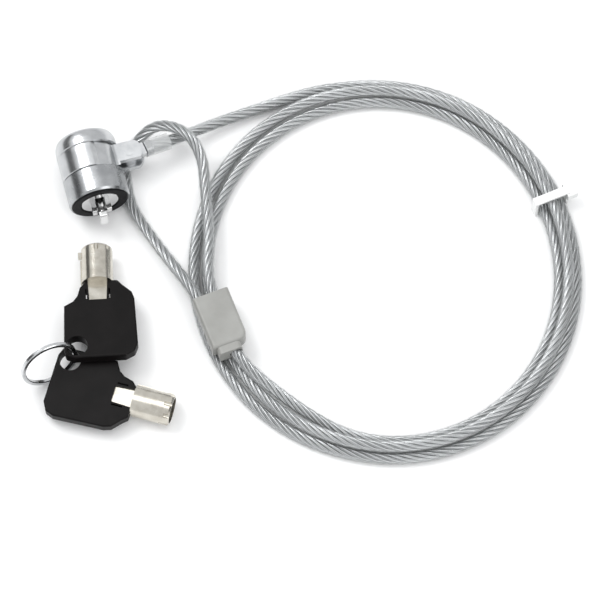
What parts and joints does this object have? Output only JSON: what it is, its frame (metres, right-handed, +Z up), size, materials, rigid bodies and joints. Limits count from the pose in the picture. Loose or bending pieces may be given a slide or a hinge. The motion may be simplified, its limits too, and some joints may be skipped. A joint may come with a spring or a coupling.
{
  "type": "laptop cable lock",
  "caption": "Tubular-key security lock whose quarter-turn nose fits a laptop slot, on a coated steel cable coiled in a tie, with its two keys on a split ring.",
  "frame": {"origin": "middle of the underside of the lock head, keys and ring as they lie, on the surface they lie on", "axes": "+Z up, +X from the lock head towards the cable coil, -Y the way the lock head's nose and the first key's bow point"},
  "size_m": [0.1698, 0.1269, 0.019],
  "materials": {
    "chrome": "polished",
    "steel": "satin",
    "spring_steel": "polished",
    "black_rubber": "matt",
    "brass": "satin",
    "clear_vinyl": "clear, glossy",
    "coated_cable": "steel strands under clear plastic",
    "aluminium": "satin",
    "grey_plastic": "satin, moulded",
    "white_nylon": "satin",
    "nickel": "plated, slightly warm",
    "black_plastic": "satin, moulded"
  },
  "bodies": {
    "cable": {"cable_coil": "coated_cable", "cable_lead": "coated_cable", "cable_eye": "coated_cable", "ferrule_crimp": "aluminium", "ferrule_cover": "grey_plastic", "cable_tie": "white_nylon", "cable_terminal": "chrome", "clear_sleeve": "clear_vinyl"},
    "collar": {"swivel_collar": "chrome", "arm_rivet": "steel"},
    "barrel": {"front_shell": "chrome", "rear_shell": "chrome", "core_sleeve": "steel", "face_pad": "black_rubber", "nose_plate": "chrome", "pin_bushing": "brass", "retaining_pin": "steel", "keyway_bezel": "steel", "spindle_clip": "spring_steel", "pin_spring_1": "spring_steel", "pin_spring_2": "spring_steel", "pin_spring_3": "spring_steel", "pin_spring_4": "spring_steel", "pin_spring_5": "spring_steel", "pin_spring_6": "spring_steel", "pin_spring_7": "spring_steel"},
    "plug": {"t_bar": "steel", "key_plug": "steel"},
    "key_pins": {"key_pin_1": "brass", "key_pin_2": "brass", "key_pin_3": "brass", "key_pin_4": "brass", "key_pin_5": "brass", "key_pin_6": "brass", "key_pin_7": "brass"},
    "driver_pins": {"driver_pin_1": "steel", "driver_pin_2": "steel", "driver_pin_3": "steel", "driver_pin_4": "steel", "driver_pin_5": "steel", "driver_pin_6": "steel", "driver_pin_7": "steel"},
    "ring": {"key_ring": "spring_steel"},
    "first_key": {"key_1_shank": "nickel", "key_1_bow": "black_plastic"},
    "second_key": {"key_2_shank": "nickel", "key_2_bow": "black_plastic"}
  },
  "joints": [
    {"name": "cable_pivot", "type": "hinge", "parent": "cable", "child": "collar", "pos_m": [0.00796, 0.04028, 0.0095], "axis": [0, 0, -1], "range_deg": [0, 30]},
    {"name": "head_swivel", "type": "hinge", "parent": "collar", "child": "barrel", "pos_m": [-0.00407, 0.03649, 0.0095], "axis": [0.2588, -0.9659, 0], "continuous": true},
    {"name": "key_turn", "type": "hinge", "parent": "barrel", "child": "plug", "pos_m": [-0.00292, 0.03219, 0.0095], "axis": [0.2588, -0.9659, 0], "range_deg": [0, 90]},
    {"name": "key_pins_travel", "type": "slide", "parent": "plug", "child": "key_pins", "axis": [-0.2588, 0.9659, 0], "range_m": [0, 0.0011]},
    {"name": "driver_pins_travel", "type": "slide", "parent": "barrel", "child": "driver_pins", "axis": [0.2588, -0.9659, 0], "range_m": [0, 0.0008], "stiffness_N_per_m": 50, "deforming": ["pin_spring_1", "pin_spring_2", "pin_spring_3", "pin_spring_4", "pin_spring_5", "pin_spring_6", "pin_spring_7"]},
    {"name": "keys_lift_off", "type": "slide", "parent": "cable", "child": "ring", "axis": [0, 0, 1], "range_m": [0, 0.03]},
    {"name": "first_key_swing", "type": "hinge", "parent": "ring", "child": "first_key", "pos_m": [-0.00659, -0.02333, 0.00912], "axis": [-0.0069, 0.1199, 0.9928], "range_deg": [0, 6]},
    {"name": "second_key_swing", "type": "hinge", "parent": "ring", "child": "second_key", "pos_m": [-0.00881, -0.02622, 0.00508], "axis": [0.0067, -0.0018, 1], "range_deg": [-6, 0]}
  ]
}
